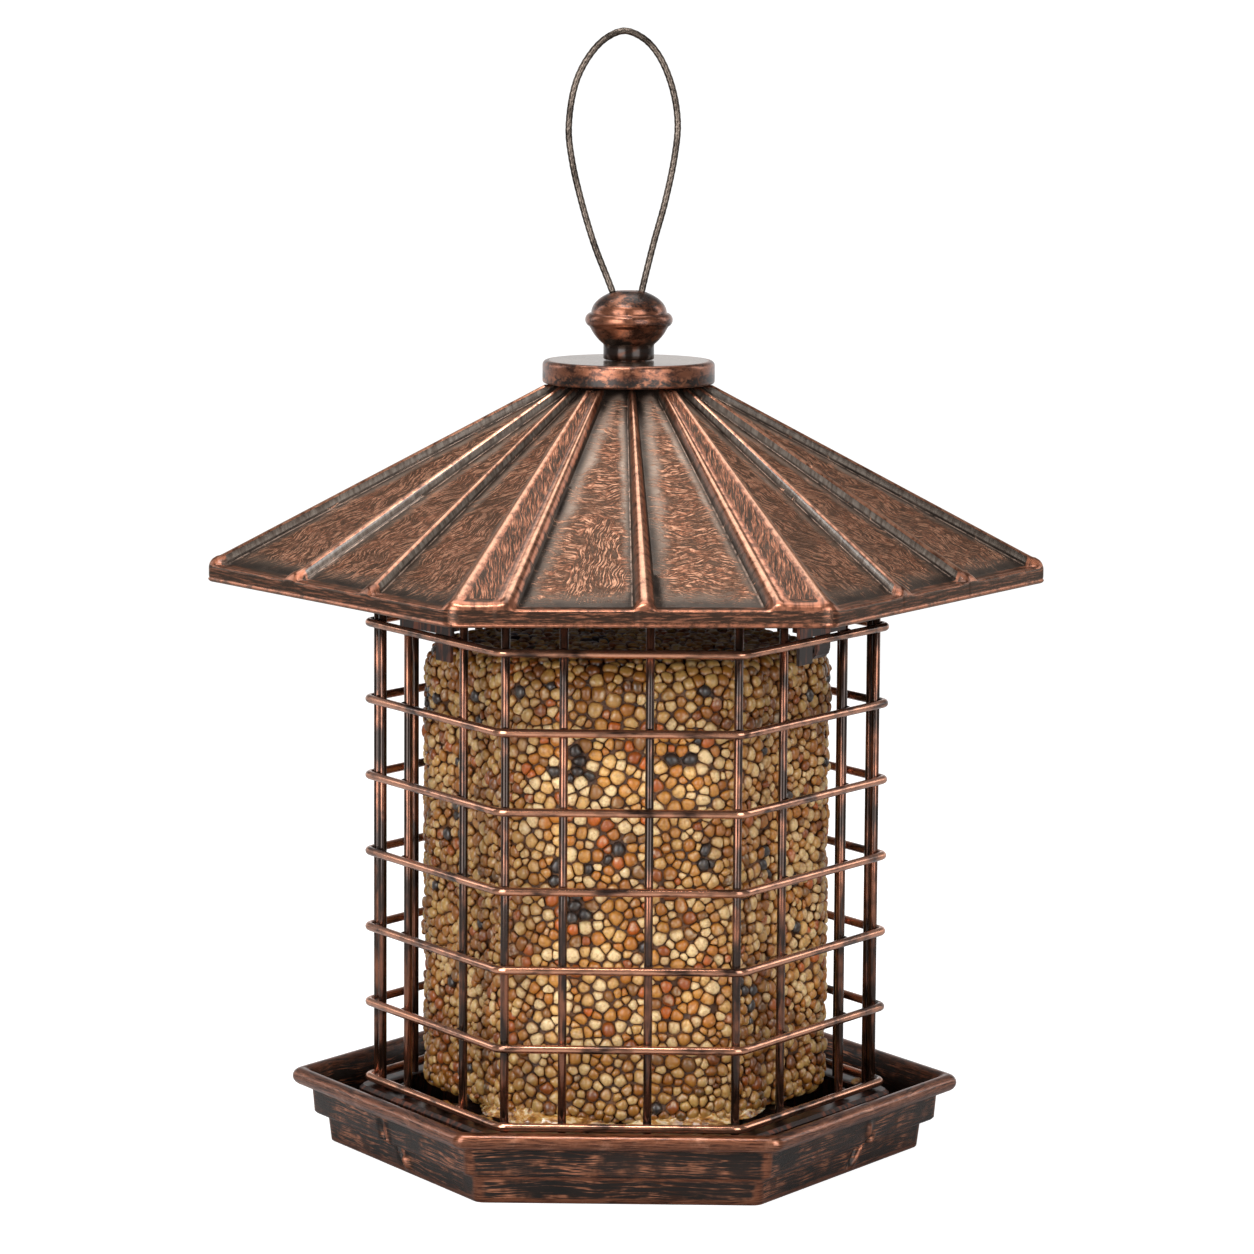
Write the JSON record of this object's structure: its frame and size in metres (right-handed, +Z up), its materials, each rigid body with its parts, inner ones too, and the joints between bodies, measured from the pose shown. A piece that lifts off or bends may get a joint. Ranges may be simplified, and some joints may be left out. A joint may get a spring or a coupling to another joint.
{
  "type": "hanging bird feeder",
  "caption": "Hexagonal hanging bird feeder: wire cage round a seed block on a stepped tray, under a ribbed roof that slides up its cable.",
  "frame": {"origin": "middle of the tray's underside", "axes": "+Z up; two corners of the hexagons point along +X and -X; -Y is the front"},
  "size_m": [0.2486, 0.2214, 0.333],
  "materials": {
    "roof_copper": "antique copper over dark patina",
    "tray_copper": "antique copper over dark patina",
    "finial_copper": "burnished antique copper",
    "cage_bronze": "dark bronze with copper wear",
    "base_bronze": "dark bronze with copper wear",
    "bracket_bronze": "dark bronze",
    "cable_steel": "stranded, bare",
    "ferrule_steel": "crimped, bare",
    "fastener_steel": "zinc plated",
    "seed": "mixed seeds in a honey-coloured binder"
  },
  "bodies": {
    "cage": {"tray_pan": "tray_copper", "cage_base": "base_bronze", "base_screw_1": "fastener_steel", "base_screw_2": "fastener_steel", "base_screw_3": "fastener_steel", "base_nut_1": "fastener_steel", "base_nut_2": "fastener_steel", "base_nut_3": "fastener_steel", "wire_ring_1": "cage_bronze", "wire_ring_2": "cage_bronze", "wire_ring_3": "cage_bronze", "wire_ring_4": "cage_bronze", "wire_ring_5": "cage_bronze", "wire_ring_6": "cage_bronze", "wire_ring_7": "cage_bronze", "wire_upright_01": "cage_bronze", "wire_upright_02": "cage_bronze", "wire_upright_03": "cage_bronze", "wire_upright_04": "cage_bronze", "wire_upright_05": "cage_bronze", "wire_upright_06": "cage_bronze", "wire_upright_07": "cage_bronze", "wire_upright_08": "cage_bronze", "wire_upright_09": "cage_bronze", "wire_upright_10": "cage_bronze", "wire_upright_11": "cage_bronze", "wire_upright_12": "cage_bronze", "wire_upright_13": "cage_bronze", "wire_upright_14": "cage_bronze", "wire_upright_15": "cage_bronze", "wire_upright_16": "cage_bronze", "wire_upright_17": "cage_bronze", "wire_upright_18": "cage_bronze", "wire_upright_19": "cage_bronze", "wire_upright_20": "cage_bronze", "hanging_cable": "cable_steel", "cable_ferrule_left": "ferrule_steel", "cable_ferrule_right": "ferrule_steel"},
    "roof": {"roof_shell": "roof_copper", "roof_bracket_1": "bracket_bronze", "roof_bracket_2": "bracket_bronze", "roof_bracket_3": "bracket_bronze", "roof_bracket_4": "bracket_bronze", "cap_disc": "finial_copper", "finial": "finial_copper", "finial_washer": "fastener_steel", "finial_nut": "fastener_steel"},
    "block": {"seed_block": "seed"}
  },
  "joints": [
    {"name": "roof_lift", "type": "slide", "parent": "cage", "child": "roof", "axis": [0, 0, 1], "range_m": [0, 0.07], "deforming": ["hanging_cable"]},
    {"name": "block_lift", "type": "slide", "parent": "cage", "child": "block", "axis": [0, 0, 1], "range_m": [0, 0.018]}
  ]
}
